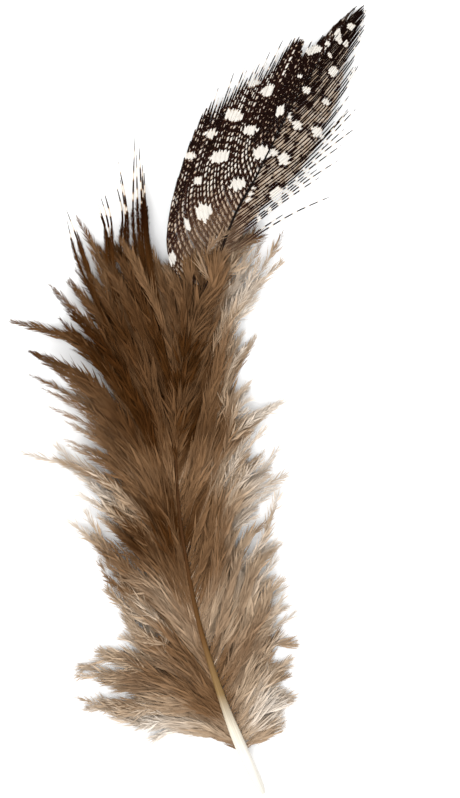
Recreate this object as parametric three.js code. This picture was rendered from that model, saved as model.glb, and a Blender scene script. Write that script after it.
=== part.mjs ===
// A guinea fowl feather lying flat on a table, in millimetres.
// +Z is up, +Y runs from the quill's bare end to the spotted tip, and the table is the plane z = 0.
// The shaft is the trunk. The barbs that fork from it are solids of their own: brown down on each side
// of its lower two thirds, a spray of stiff banded barbs on the left, and the spotted web of the tip.
import * as THREE from "three";

// Driving dimensions
const thinnestShaft = 0.12;
const shaftSides = 10;
const shaftSteps = 64;
const clearance = 0.35;
const webThickness = 0.5;
const webDroop = 1.1;
const sprayThickness = 0.7;
const sprayRootHeight = 3.0;
const sprayTipHeight = 1.5;
const downCrown = 8.0;
const downEdge = 0.9;

// The shaft's centreline from the quill's bare end to the tip: x, y and height of its middle.
const shaftRoute = new THREE.CatmullRomCurve3(
  [
    [11.5, -63.1, 0.75],
    [8.5, -57.0, 1.3],
    [6.7, -53.1, 2.0],
    [4.2, -45.6, 3.2],
    [1.8, -38.2, 4.4],
    [-1.3, -22.9, 5.6],
    [-2.5, -8.0, 5.9],
    [-1.9, 1.6, 5.8],
    [-0.3, 10.4, 5.4],
    [3.4, 20.5, 4.7],
    [7.0, 29.8, 4.0],
    [13.0, 41.0, 3.0],
    [20.3, 54.1, 2.0],
    [26.1, 62.7, 1.3],
  ].map((point) => new THREE.Vector3(...point)),
);

// The shaft's radius at a few shares of the way along it.
const shaftRadii = [
  [0.0, 0.45],
  [0.02, 0.82],
  [0.08, 0.95],
  [0.16, 0.82],
  [0.26, 0.58],
  [0.4, 0.36],
  [0.6, 0.24],
  [0.8, 0.17],
  [1.0, thinnestShaft],
];

// How high the down stands at a few shares of the way out from the shaft, as a share of its crown.
const downProfile = [
  [0.0, 0.66],
  [0.16, 0.9],
  [0.34, 1.0],
  [0.55, 0.9],
  [0.75, 0.62],
  [0.9, 0.3],
  [1.0, 0.0],
];

// Each row of a vane is [y where its barbs leave the shaft, x of their tips, y of their tips].
const leftDownRows = [
  [-54.7, 5.0, -55.0],
  [-52.3, -1.9, -53.6],
  [-48.8, -10.7, -51.5],
  [-45.6, -16.6, -46.7],
  [-42.9, -15.0, -40.3],
  [-38.2, -12.4, -35.6],
  [-32.8, -13.8, -28.8],
  [-26.9, -18.2, -19.2],
  [-22.4, -23.8, -8.8],
  [-16.8, -27.6, 0.0],
  [-11.2, -28.3, 8.6],
  [-6.4, -24.0, 17.6],
  [-1.6, -20.2, 28.6],
  [2.4, -14.9, 27.0],
  [8.0, -9.0, 24.8],
  [13.1, -5.4, 20.6],
  [15.4, -3.6, 18.6],
];
const rightDownRows = [
  [-55.7, 9.9, -55.6],
  [-53.1, 12.8, -52.5],
  [-49.3, 15.7, -47.2],
  [-45.6, 17.3, -40.8],
  [-41.6, 17.8, -34.4],
  [-37.6, 17.9, -28.0],
  [-32.8, 17.3, -21.6],
  [-26.9, 16.3, -15.2],
  [-22.4, 14.7, -8.8],
  [-16.8, 13.1, -2.4],
  [-11.2, 11.8, 4.0],
  [-6.4, 11.2, 10.4],
  [-1.6, 12.5, 16.0],
  [3.2, 15.6, 22.6],
  [9.0, 14.6, 24.6],
  [14.4, 10.4, 22.6],
  [19.0, 6.6, 21.2],
];
const leftWebRows = [
  [16.2, -3.4, 19.9],
  [19.2, -3.9, 25.4],
  [22.7, -2.6, 32.4],
  [26.7, -1.0, 38.4],
  [30.1, 1.3, 43.2],
  [33.6, 3.2, 47.2],
  [37.6, 5.8, 51.2],
  [41.3, 9.3, 54.7],
  [45.4, 13.3, 57.3],
  [49.1, 17.0, 58.8],
  [52.8, 20.6, 60.0],
  [56.8, 23.2, 61.9],
  [61.6, 25.2, 63.2],
];
const rightWebRows = [
  [20.4, 7.2, 22.4],
  [23.0, 15.4, 26.4],
  [25.9, 22.1, 32.0],
  [29.8, 26.4, 38.4],
  [33.6, 28.2, 43.5],
  [37.6, 27.6, 48.0],
  [41.3, 27.7, 51.2],
  [46.4, 28.1, 55.7],
  [50.7, 28.3, 59.5],
  [55.5, 28.2, 62.0],
  [59.4, 27.8, 63.3],
  [61.8, 27.2, 63.4],
];

// The spray's barbs come out from under the down, so each of its rows is
// [x and y where they show, x and y of their tips].
const sprayRows = [
  [-19.0, 29.9, -19.0, 32.2],
  [-16.8, 28.6, -17.0, 35.5],
  [-14.4, 27.7, -14.1, 38.2],
  [-11.6, 26.7, -11.5, 41.0],
  [-9.2, 25.8, -9.3, 43.7],
  [-7.8, 24.8, -7.0, 42.0],
  [-6.4, 23.2, -5.6, 35.2],
  [-5.0, 20.9, -4.7, 27.0],
];

// Colours, roughness and metalness of the three finishes
const finishes = {
  horn: new THREE.MeshStandardMaterial({ color: 0xd9cfb8, roughness: 0.4, metalness: 0 }),
  down: new THREE.MeshStandardMaterial({ color: 0x7d6249, roughness: 0.95, metalness: 0 }),
  web: new THREE.MeshStandardMaterial({ color: 0x4a3a30, roughness: 0.7, metalness: 0 }),
};

// The value at a place in a table of [place, value] rows, by straight lines between them.
function tableValue(table, place) {
  const next = table.findIndex((row) => row[0] >= place);
  if (next <= 0) return table[next === 0 ? 0 : table.length - 1][1];
  const [lowPlace, lowValue] = table[next - 1];
  const [highPlace, highValue] = table[next];
  return THREE.MathUtils.mapLinear(place, lowPlace, highPlace, lowValue, highValue);
}

// The share of the way along the shaft at which it reaches a given y. Its y only ever grows.
function shaftShareAt(y) {
  let low = 0;
  let high = 1;
  for (let halving = 0; halving < 40; halving += 1) {
    const middle = (low + high) / 2;
    if (shaftRoute.getPoint(middle).y < y) low = middle;
    else high = middle;
  }
  return low;
}

// Moves every vertex of a geometry to the place that a function gives for it.
function reshaped(geometry, placeOf) {
  const positions = geometry.getAttribute("position");
  const vertex = new THREE.Vector3();
  for (let index = 0; index < positions.count; index += 1) {
    const place = placeOf(vertex.fromBufferAttribute(positions, index));
    positions.setXYZ(index, place.x, place.y, place.z);
  }
  geometry.computeVertexNormals();
  return geometry;
}

// The shaft is a cylinder bent onto its centreline and tapered. The tangent, the level direction
// across it and the one that completes them are its axes at each ring.
function shaftGeometry() {
  const straight = new THREE.CylinderGeometry(1, 1, 1, shaftSides, shaftSteps);
  const upwards = new THREE.Vector3(0, 0, 1);
  return reshaped(straight, (vertex) => {
    const share = vertex.y + 0.5;
    const radius = tableValue(shaftRadii, share);
    const along = shaftRoute.getTangent(share);
    const across = along.clone().cross(upwards).normalize();
    const above = across.clone().cross(along);
    return shaftRoute
      .getPoint(share)
      .addScaledVector(across, vertex.x * radius)
      .addScaledVector(above, vertex.z * radius);
  });
}

// A sheet or pad is a box whose three directions become: across, from the barbs' roots to their tips;
// along, from the first row to the last; and up, from its underside to its top.
function padGeometry({ left, acrossSteps, alongSteps, rootAt, tipAt, underside, top }) {
  const block = new THREE.BoxGeometry(1, 1, 1, acrossSteps, alongSteps, 1);
  return reshaped(block, (vertex) => {
    const across = left ? 0.5 - vertex.x : 0.5 + vertex.x;
    const along = vertex.y + 0.5;
    const place = rootAt(along).lerp(tipAt(along), across);
    const low = underside(across, along);
    const high = top(across, along);
    place.z = THREE.MathUtils.lerp(low, high, vertex.z + 0.5);
    return place;
  });
}

// A vane on one side of the shaft. Its rows give where its barbs start and end, and its roots keep
// the clearance from the shaft's side.
function vaneGeometry({ rows, left, acrossSteps, alongSteps, heights }) {
  const rowCurve = new THREE.CatmullRomCurve3(rows.map(([y, tipX, tipY]) => new THREE.Vector3(tipX, tipY, y)));
  const outwards = left ? -1 : 1;
  const shareOf = (along) => shaftShareAt(rowCurve.getPoint(along).z);
  const rootAt = (along) => {
    const share = shareOf(along);
    const tangent = shaftRoute.getTangent(share);
    const across = new THREE.Vector3(tangent.y, -tangent.x, 0).normalize();
    const reach = tableValue(shaftRadii, share) + clearance;
    return shaftRoute.getPoint(share).addScaledVector(across, outwards * reach);
  };
  const tipAt = (along) => rowCurve.getPoint(along);
  const shaftHeight = (along) => shaftRoute.getPoint(shareOf(along)).z;
  return padGeometry({ left, acrossSteps, alongSteps, rootAt, tipAt, ...heights(shaftHeight) });
}

// Down lies flat on the table and is crowned: highest a third of the way out, thin at its tips and
// lower towards both ends of the vane.
function downHeights() {
  const swell = (along) => Math.sin(Math.PI * (0.1 + 0.78 * along)) ** 0.7;
  const rise = (across, along) => (downCrown - downEdge) * swell(along) * tableValue(downProfile, across);
  return {
    underside: () => 0,
    top: (across, along) => downEdge + rise(across, along),
  };
}

// A web is a thin sheet at the shaft's height that droops towards its edge.
function webHeights(shaftHeight) {
  const middle = (across, along) => Math.max(shaftHeight(along) - webDroop * across ** 2, webThickness);
  return {
    underside: (across, along) => middle(across, along) - webThickness / 2,
    top: (across, along) => middle(across, along) + webThickness / 2,
  };
}

function sprayGeometry() {
  const roots = new THREE.CatmullRomCurve3(sprayRows.map(([x, y]) => new THREE.Vector3(x, y, 0)));
  const tips = new THREE.CatmullRomCurve3(sprayRows.map(([, , x, y]) => new THREE.Vector3(x, y, 0)));
  const middle = (across) => THREE.MathUtils.lerp(sprayRootHeight, sprayTipHeight, across);
  // Rows run from left to right here, so across and along change places with those of a vane.
  return padGeometry({
    left: false,
    acrossSteps: 5,
    alongSteps: 18,
    rootAt: (along) => roots.getPoint(1 - along),
    tipAt: (along) => tips.getPoint(1 - along),
    underside: (across) => middle(across) - sprayThickness / 2,
    top: (across) => middle(across) + sprayThickness / 2,
  });
}

function namedMesh(name, geometry, material) {
  const mesh = new THREE.Mesh(geometry, material);
  mesh.name = name;
  return mesh;
}

const downGrid = { acrossSteps: 8, alongSteps: 44, heights: downHeights };
const webGrid = { acrossSteps: 6, alongSteps: 36, heights: webHeights };

const feather = new THREE.Group();
feather.name = "guinea_fowl_feather";
feather.add(
  namedMesh("shaft", shaftGeometry(), finishes.horn),
  namedMesh("left_down", vaneGeometry({ rows: leftDownRows, left: true, ...downGrid }), finishes.down),
  namedMesh("right_down", vaneGeometry({ rows: rightDownRows, left: false, ...downGrid }), finishes.down),
  namedMesh("left_spray", sprayGeometry(), finishes.web),
  namedMesh("left_web", vaneGeometry({ rows: leftWebRows, left: true, ...webGrid }), finishes.web),
  namedMesh("right_web", vaneGeometry({ rows: rightWebRows, left: false, ...webGrid }), finishes.web),
);

// The origin is under the middle of the feather's box, on the table.
const box = new THREE.Box3().setFromObject(feather);
const middle = box.getCenter(new THREE.Vector3());
feather.position.set(-middle.x, -middle.y, -box.min.z);

export default feather;
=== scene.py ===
import bpy
import numpy as np
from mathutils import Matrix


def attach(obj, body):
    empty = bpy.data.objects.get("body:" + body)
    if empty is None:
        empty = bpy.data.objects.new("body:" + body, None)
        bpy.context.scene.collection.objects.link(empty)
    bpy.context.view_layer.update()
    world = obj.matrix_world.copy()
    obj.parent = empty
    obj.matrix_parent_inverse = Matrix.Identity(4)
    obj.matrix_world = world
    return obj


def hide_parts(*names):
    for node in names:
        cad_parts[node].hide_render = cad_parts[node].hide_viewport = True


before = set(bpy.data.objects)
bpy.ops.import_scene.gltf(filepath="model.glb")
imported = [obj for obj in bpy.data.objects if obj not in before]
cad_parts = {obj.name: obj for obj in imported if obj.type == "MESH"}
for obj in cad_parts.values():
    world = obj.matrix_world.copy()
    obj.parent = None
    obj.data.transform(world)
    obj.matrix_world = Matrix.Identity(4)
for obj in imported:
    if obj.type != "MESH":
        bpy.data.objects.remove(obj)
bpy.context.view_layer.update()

millimetre = 0.001


# Small helpers for arrays

def unit(vectors):
    # Each vector divided by its length, which counts as no less than a billionth.
    return vectors / np.maximum(np.linalg.norm(vectors, axis=-1, keepdims=True), 1e-9)


def sideAndRise(ahead):
    # The level direction square to a course, to its right, and the direction square to both.
    side = unit(np.cross(ahead, [0.0, 0.0, 1.0]))
    return side, np.cross(side, ahead)


def levelPlace(points):
    # The x and the y of points.
    return points[..., 0], points[..., 1]


def easeIn(share):
    # Rises from 0 to 1 with no slope at either end: 3 s^2 - 2 s^3.
    share = np.clip(share, 0.0, 1.0)
    return share * share * (3 - 2 * share)


def splineAt(points, shares):
    # Catmull-Rom along the first axis: between two points a cubic whose slope at each point is half the
    # step between that point's neighbours.
    last = len(points) - 1
    place = np.clip(shares, 0.0, 1.0) * last
    start = np.minimum(place.astype(int), last - 1)
    t = (place - start).reshape(-1, *[1] * (points.ndim - 1))
    before, here = points[np.maximum(start - 1, 0)], points[start]
    there, after = points[start + 1], points[np.minimum(start + 2, last)]
    straight = 2 * here + (there - before) * t
    bent = (2 * before - 5 * here + 4 * there - after) * t**2
    twisted = (3 * here - before - 3 * there + after) * t**3
    return 0.5 * (straight + bent + twisted)


def tableAt(places, table):
    # Reads a table of (place, value) pairs, in a straight line from each pair to the next.
    return np.interp(places, *np.array(table).T)


def patchSum(patches, x, y, start):
    # Starts from one value everywhere, and each patch adds its amount as a bell curve round its middle.
    total = np.full(np.shape(x), float(start))
    for patchX, patchY, reach, amount in patches:
        total += amount * np.exp(-((x - patchX) ** 2 + (y - patchY) ** 2) / (2 * reach**2))
    return total


def linearColour(red, green, blue):
    # Screen values from 0 to 255 turned into the linear values that a shader takes.
    screen = np.array([red, green, blue]) / 255
    linear = np.where(screen <= 0.04045, screen / 12.92, ((screen + 0.055) / 1.055) ** 2.4)
    return (*map(float, linear), 1.0)


# Meshes from arrays. Each part is (vertices, faces, map of each face's corners, tone of each vertex,
# normal of each vertex).

def joined(parts):
    # Puts parts end to end and moves each one's face numbers past the vertices before it.
    starts = np.cumsum([0] + [len(part[0]) for part in parts[:-1]])
    moved = [(part[0], part[1] + start, *part[2:]) for part, start in zip(parts, starts)]
    return [np.concatenate(arrays) for arrays in zip(*moved)]


def makePiece(name, node, material, parts):
    # Joins the parts into one object at the origin, in metres, that stands for a CAD node on the root body.
    vertices, faces, cornerMap, tone, normals = joined(parts)
    mesh = bpy.data.meshes.new(name)
    mesh.vertices.add(len(vertices))
    mesh.vertices.foreach_set("co", (vertices * millimetre).astype(np.float32).ravel())
    mesh.loops.add(3 * len(faces))
    mesh.loops.foreach_set("vertex_index", faces.astype(np.int32).ravel())
    mesh.polygons.add(len(faces))
    mesh.polygons.foreach_set("loop_start", np.arange(0, 3 * len(faces), 3, dtype=np.int32))
    mesh.update(calc_edges=True)
    mesh.polygons.foreach_set("use_smooth", np.ones(len(faces), bool))
    mesh.normals_split_custom_set_from_vertices(unit(normals).tolist())
    mesh.attributes.new("tone", "FLOAT", "POINT").data.foreach_set("value", tone.astype(np.float32))
    layer = mesh.uv_layers.new(name="OFBake")
    layer.data.foreach_set("uv", cornerMap.astype(np.float32).ravel())
    mesh.materials.append(material)
    piece = bpy.data.objects.new(name, mesh)
    bpy.context.scene.collection.objects.link(piece)
    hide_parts(node)
    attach(piece, "root")
    print(f"{name}: {len(faces)} triangles")


def tubes(paths, radii, sides, tones, mapRows, rowWidth):
    # A ring of corners round every point of every path: the point plus the radius times
    # (cosine of the angle along the level direction, sine of it along the upward one).
    count, steps, _ = paths.shape
    level, rise = sideAndRise(unit(np.gradient(paths, axis=1)))
    angle = 2 * np.pi * np.arange(sides) / sides
    around = level[:, :, None] * np.cos(angle)[:, None] + rise[:, :, None] * np.sin(angle)[:, None]
    vertices = paths[:, :, None] + radii.reshape(count, steps, 1, 1) * around

    ring = np.arange(count)[:, None, None] * steps * sides
    step = np.arange(steps - 1)[None, :, None] * sides
    side = np.arange(sides)[None, None, :]
    following = (side + 1) % sides
    low, lowNext = ring + step + side, ring + step + following
    high, highNext = low + sides, lowNext + sides
    walls = np.stack([low, high, highNext, low, highNext, lowNext], axis=-1).reshape(-1, 3)
    fan = np.arange(1, sides - 1)
    startCap = np.stack([0 * fan, fan, fan + 1], axis=-1)
    endCap = np.stack([0 * fan, fan + 1, fan], axis=-1) + (steps - 1) * sides
    caps = (np.concatenate([startCap, endCap])[None] + ring).reshape(-1, 3)

    share = np.linspace(0, 1, steps)
    lowShare = np.broadcast_to(share[:-1][None, :, None], low.shape)
    highShare = np.broadcast_to(share[1:][None, :, None], low.shape)
    row = mapRows[:, None, None] + rowWidth * (side / sides - 0.5)
    rowHere = np.broadcast_to(row, low.shape)
    rowNext = rowHere + rowWidth / sides
    corners = [
        (lowShare, rowHere), (highShare, rowHere), (highShare, rowNext),
        (lowShare, rowHere), (highShare, rowNext), (lowShare, rowNext),
    ]
    wallMap = np.stack([np.stack(corner, axis=-1) for corner in corners], axis=-2).reshape(-1, 3, 2)
    # On the map, a cap's triangles are thin slivers just inside the ends of the tube's row.
    inset = 0.001
    capShare = np.repeat([inset, 1 - inset], len(fan))[None, :, None] + inset * np.array([-0.5, 0.5, -0.5])
    capShare = np.broadcast_to(capShare, (count, 2 * len(fan), 3))
    capRow = mapRows[:, None, None] + rowWidth * np.array([-0.4, 0.0, 0.4])
    capMap = np.stack([capShare, np.broadcast_to(capRow, capShare.shape)], axis=-1).reshape(-1, 3, 2)

    tone = np.repeat(tones.reshape(-1), sides)
    faces = np.concatenate([walls, caps])
    return vertices.reshape(-1, 3), faces, np.concatenate([wallMap, capMap]), tone, around.reshape(-1, 3)


def spindles(base, tip, halfWidth, bow, turn, tones, normals, mapShare, mapRow, mapReach):
    # A spindle is a closed sliver with four corners: its base, one either side of its widest place, which
    # is bowed off its line, and its tip. Its base has a tone of its own. All four corners share one
    # normal, so that a crowd of slivers is shaded as one soft surface.
    widest, mapHalfWidth = 0.4, 0.0012
    line = tip - base
    flat, rise = sideAndRise(line)
    rise = unit(rise)
    sideways = flat * np.cos(turn)[:, None] + rise * np.sin(turn)[:, None]
    outwards = rise * np.cos(turn)[:, None] - flat * np.sin(turn)[:, None]
    middle = base + widest * line + bow[:, None] * outwards
    left = middle + halfWidth[:, None] * sideways
    right = middle - halfWidth[:, None] * sideways
    vertices = np.stack([base, left, right, tip], axis=1).reshape(-1, 3)
    pattern = np.array([[0, 1, 2], [1, 3, 2], [0, 3, 1], [0, 2, 3]])
    faces = (pattern[None] + 4 * np.arange(len(base))[:, None, None]).reshape(-1, 3)
    shares = np.stack([mapShare, mapShare - mapHalfWidth, mapShare + mapHalfWidth, mapShare], axis=1)
    rows = mapRow[:, None] + mapReach[:, None] * np.array([0.0, widest, widest, 1.0])
    cornerMap = np.stack([shares, rows], axis=-1)[:, pattern].reshape(-1, 3, 2)
    return vertices, faces, cornerMap, tones[:, [0, 1, 1, 1]].reshape(-1), np.repeat(normals, 4, axis=0)


# The shaft

shaft = {
    "route": [  # x, y and height of its middle, from the quill's bare end to the tip
        (11.5, -63.1, 0.75), (8.5, -57.0, 1.3), (5.6, -49.9, 2.5), (3.0, -42.1, 3.8), (1.0, -35.0, 4.8),
        (-0.6, -27.2, 5.4), (-1.9, -18.7, 5.75), (-2.5, -10.4, 5.9), (-2.4, -5.6, 5.9), (-1.9, 1.6, 5.8),
        (-0.8, 8.8, 5.5), (1.1, 15.5, 5.1), (3.4, 20.5, 4.7), (4.8, 24.3, 4.4), (7.0, 29.8, 4.0),
        (10.0, 35.2, 3.5), (12.9, 41.0, 3.0), (16.6, 48.2, 2.45), (20.3, 54.1, 2.0), (24.2, 59.7, 1.5),
        (26.1, 62.7, 1.3),
    ],
    "radii": [  # y and radius
        (-63.1, 0.25), (-62.6, 0.5), (-61.0, 0.78), (-57.0, 0.95), (-53.0, 0.88), (-49.0, 0.66),
        (-42.0, 0.48), (-35.0, 0.37), (-25.0, 0.29), (-15.0, 0.25), (0.0, 0.24), (24.0, 0.23),
        (32.0, 0.19), (41.0, 0.12), (62.7, 0.05),
    ],
    "divisions": 1200,
    "rings": 260,
    "sides": 14,
    "mapWidth": 0.9,
    "groove": 0.16,  # the deepest, as a share of the radius
    "grooveSpread": 0.18,
    "grooveFrom": -56,
    "grooveEase": 8,
}

shaftLine = splineAt(np.array(shaft["route"]), np.linspace(0, 1, shaft["divisions"] + 1))


def shaftAt(y):
    # The shaft's middle where it passes a given y, read off its finely divided line.
    return np.stack([np.interp(y, shaftLine[:, 1], shaftLine[:, column]) for column in range(3)], axis=-1)


def makeShaft(material):
    # A tube whose upper face has a shallow groove: the radius shrinks as a bell curve round straight up.
    rings, sides = shaft["rings"], shaft["sides"]
    line = splineAt(np.array(shaft["route"]), np.linspace(0, 1, rings))
    radius = tableAt(line[:, 1], shaft["radii"])
    mapRow = np.array([0.5])
    part = tubes(line[None], radius[None], sides, np.zeros((1, rings)), mapRow, shaft["mapWidth"])
    vertices, faces, cornerMap, tone, normals = part
    around = vertices.reshape(rings, sides, 3) - line[:, None]
    angle = 2 * np.pi * np.arange(sides) / sides
    depth = shaft["groove"] * easeIn((line[:, 1] - shaft["grooveFrom"]) / shaft["grooveEase"])
    shrink = 1 - depth[:, None] * np.exp(-((angle - np.pi / 2) ** 2) / shaft["grooveSpread"])[None]
    grooved = (line[:, None] + around * shrink[..., None]).reshape(-1, 3)
    makePiece("featherShaft", "shaft", material, [(grooved, faces, cornerMap, tone, normals)])


# Barbs and barbules

# What every vane has, unless its own dictionary says otherwise. That one also names the vane's rules: its
# barbs' height and tone, and its barbules' tone and reach.
vaneShared = {
    "pieces": 1,
    "pullPower": 1.3,
    "firstScatter": 0.4,  # of the first points past the shaft, as a share of the tips' scatter
    "stretch": 0.0,
    "shortReach": 1.0,
    "waves": (0.5, 1.6),
    "bareShare": 0.0,
    "bareRadius": 1.0,
    "roomShare": 99.0,  # the thickest barb, as a share of the gap beside it: here no limit
    "tipFloor": (0.04, 0.25),  # the lowest that a barbule's tip may be, and how much that varies
    "sag": 0.0,
    "widthRange": (0.75, 0.5),  # of a barbule: the least factor, and how much is added at random
    "bowRange": (0.4, 1.0),
    "barbMapShare": 0.16,  # of a row's height in the map
    "barbuleMapShare": 0.45,
}


def guideArray(vane):
    # Each guide is the y where its barb leaves the shaft and the points that it then passes. The first
    # column is put on the shaft.
    roots = shaftAt(np.array([guide[0] for guide in vane["guides"]], float))[:, :2]
    passed = np.array([guide[1:] for guide in vane["guides"]], float)
    return np.concatenate([roots[:, None], passed], axis=1)


def gathered(place, tufts, pull):
    # Moves places from 0 to 1 a share of the way to the nearest tuft's middle.
    middles = np.array(tufts)
    nearest = middles[np.abs(place[:, None] - middles[None]).argmin(axis=1)]
    return place + pull * (nearest - place)


def growBarbs(vane, rng):
    # A barb's points are read between the guides at its own place. Further out they are read nearer to
    # a tuft's middle, so that tips gather into points. Each barb then stops short by its own amount, in a
    # web somewhere past the start of its fringe, and two in three may stop sooner. A wave that grows along
    # each barb makes no two alike.
    guides = guideArray(vane)
    count, steps = vane["barbs"], vane["steps"]
    place = (np.arange(count) + 0.5 + vane["unevenness"] * rng.uniform(-0.5, 0.5, count)) / count
    columns = guides.shape[1]
    pulls = vane["tuftPull"] * np.linspace(0, 1, columns) ** vane["pullPower"]
    tufts = np.minimum(np.array(vane["tufts"]) / (len(guides) - 1), 1)
    controls = np.stack([splineAt(guides[:, c], gathered(place, tufts, pulls[c])) for c in range(columns)])
    scatter = vane["scatter"] * np.linspace(vane["firstScatter"], 1, columns - 1)
    controls[1:] += scatter[:, None, None] * rng.normal(size=(columns - 1, count, 2))
    controls[-1] += vane["stretch"] * rng.random((count, 1)) * (controls[-1] - controls[-2])
    controls[0] = shaftAt(controls[0, :, 1])[:, :2]

    fineSteps = 80
    fine = splineAt(controls, np.linspace(0, 1, fineSteps)).transpose(1, 0, 2)
    row = place * (len(guides) - 1)
    shortest = tableAt(row, vane["fringe"])[:, None] if "fringe" in vane else vane["shortest"]
    further = rng.random((count, 1)) ** vane["reachBias"]
    further[np.arange(count) % 3 > 0] *= vane["shortReach"]
    cut = shortest + (1.0 - shortest) * further
    u = np.linspace(0, 1, steps)
    mark = u[None] * cut * (fineSteps - 1)
    low = np.minimum(mark.astype(int), fineSteps - 2)
    rest = (mark - low)[..., None]
    barb = np.arange(count)[:, None]
    level = fine[barb, low] * (1 - rest) + fine[barb, low + 1] * rest

    ahead = unit(np.gradient(level, axis=1))
    beside = np.stack([ahead[..., 1], -ahead[..., 0]], axis=-1)
    waves = rng.uniform(*vane["waves"], (count, 1)) * u + rng.uniform(0, 1, (count, 1))
    sway = vane["sway"] * rng.normal(size=(count, 1)) * np.sin(2 * np.pi * waves) * u
    level += sway[..., None] * beside
    height = vane["height"](vane, level, u, rng)
    points = np.concatenate([level, height[..., None]], axis=-1)
    stepLengths = np.linalg.norm(np.diff(points, axis=1), axis=-1)
    travel = np.concatenate([np.zeros((count, 1)), np.cumsum(stepLengths, axis=1)], axis=1)
    bare = rng.random(count) < vane["bareShare"]
    return {"points": points, "travel": travel, "u": u, "row": row, "cut": cut[:, 0], "bare": bare}


def sideGaps(points):
    # How far the next barb lies on either side of each point, measured square to the barb.
    leastGap = 0.05
    level, _ = sideAndRise(unit(np.gradient(points, axis=1)))
    step = np.diff(points, axis=0)
    towardsNext = np.sum(np.concatenate([step, step[-1:]]) * level, axis=-1)
    towardsLast = -np.sum(np.concatenate([step[:1], step]) * level, axis=-1)
    plus = np.maximum(towardsNext, towardsLast)
    minus = -np.minimum(towardsNext, towardsLast)
    return np.maximum(plus, leastGap), np.maximum(minus, leastGap)


def growBarbules(barbs, vane, rng):
    # Barbules are set along all the barbs laid end to end, closer together where the crowding table is
    # higher, on alternate sides. Each leaves its barb forwards and to its own side, tilted at random.
    points, travel = barbs["points"], barbs["travel"]
    count = vane["barbules"]
    fineSteps = 200
    shares = np.linspace(0, 1, fineSteps)
    crowding = np.cumsum(tableAt(shares, vane["crowding"]))
    crowding = (crowding - crowding[0]) / (crowding[-1] - crowding[0])
    lengths = travel[:, -1]
    ends = np.cumsum(lengths)
    mark = (np.arange(count) + vane["barbuleJitter"] * rng.random(count)) / count * ends[-1]
    barb = np.minimum(np.searchsorted(ends, mark), len(lengths) - 1)
    u = np.interp((mark - (ends - lengths)[barb]) / lengths[barb], crowding, shares)
    place = u * (points.shape[1] - 1)
    low = np.minimum(place.astype(int), points.shape[1] - 2)
    rest = (place - low)[:, None]
    near, far = points[barb, low], points[barb, low + 1]
    base = near + (far - near) * rest

    ahead = unit(far - near)
    level, rise = sideAndRise(ahead)
    side = np.where(np.arange(count) % 2 == 0, 1.0, -1.0)
    tilt = np.radians(vane["tiltMean"] + vane["tiltSpread"] * rng.uniform(-1, 1, count))
    tilt = np.where(barbs["bare"][barb], -np.abs(tilt), tilt)
    lean = np.radians(tableAt(u, vane["lean"]) + vane["leanSpread"] * rng.normal(size=count))
    across = level * (side * np.cos(tilt))[:, None] + rise * np.sin(tilt)[:, None]
    direction = ahead * np.cos(lean)[:, None] + across * np.sin(lean)[:, None]
    barbules = {"barb": barb, "u": u, "low": low, "side": side, "base": base, "lean": lean}
    vary = 1 + vane["barbuleSpread"] * rng.uniform(-1, 1, count)
    length = vane["barbuleReach"](vane, barbs, barbules) * vary
    tip = base + direction * length[:, None]
    lowest, above = vane["tipFloor"]
    tip[:, 2] = np.maximum(tip[:, 2] - vane["sag"] * length, lowest + above * rng.random(count))
    normals = unit(vane["normalSpread"] * across + [0.0, 0.0, 1.0])
    return barbules | {"tip": tip, "length": length, "normals": normals}


def vanePiece(name, node, material, vane, barbs, barbules, chosen, rng):
    # One piece from the chosen barbs and the barbules on them, each toned by the vane's own rule.
    points = barbs["points"][chosen]
    total = len(chosen)
    rows = (np.arange(total) + 0.5) / total
    rowOf = np.full(len(barbs["points"]), -1)
    rowOf[chosen] = np.arange(total)
    radius = tableAt(barbs["u"], vane["barbRadius"])
    radii = radius * np.where(barbs["bare"][chosen], vane["bareRadius"], 1.0)[:, None]
    room = np.minimum(*sideGaps(barbs["points"]))[chosen]
    radii = np.minimum(radii, vane["roomShare"] * room)
    barbTone = vane["barbTone"](vane, barbs)[chosen]
    barbSides = 3
    parts = [tubes(points, radii, barbSides, barbTone, rows, vane["barbMapShare"] / total)]

    kept = rowOf[barbules["barb"]] >= 0
    row = (rowOf[barbules["barb"][kept]] + 0.5) / total
    reach = vane["barbuleMapShare"] * barbules["side"][kept] / total
    count = int(kept.sum())
    slimming = tableAt(barbules["u"][kept], vane["barbuleSlimming"])
    leastWidth, moreWidth = vane["widthRange"]
    leastBow, moreBow = vane["bowRange"]
    width = vane["barbuleWidth"] * slimming * (leastWidth + moreWidth * rng.random(count))
    bow = vane["barbuleBow"] * barbules["length"][kept] * (leastBow + moreBow * rng.random(count))
    turn = np.radians(vane["barbuleTurn"]) * rng.normal(size=count)
    tones = vane["barbuleTone"](vane, barbules, rng)[kept]
    base, tip, normals = barbules["base"][kept], barbules["tip"][kept], barbules["normals"][kept]
    parts.append(spindles(base, tip, width, bow, turn, tones, normals, barbules["u"][kept], row, reach))
    makePiece(name, node, material, parts)


def makeVane(name, node, material, vane):
    # Grows a vane's barbs and barbules and shares its barbs out over its pieces, in order.
    rng = np.random.default_rng(vane["seed"])
    barbs = growBarbs(vane, rng)
    barbules = growBarbules(barbs, vane, rng)
    for number, chosen in enumerate(np.array_split(np.arange(vane["barbs"]), vane["pieces"])):
        label = f"{name}{number + 1}" if vane["pieces"] > 1 else name
        vanePiece(label, node, material, vane, barbs, barbules, chosen, rng)


# Down: brown, loose and deep. Its barbs run forwards beside the shaft, bend away from it and end in
# pointed tufts, in layers between the table and the top of the crown.

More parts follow.
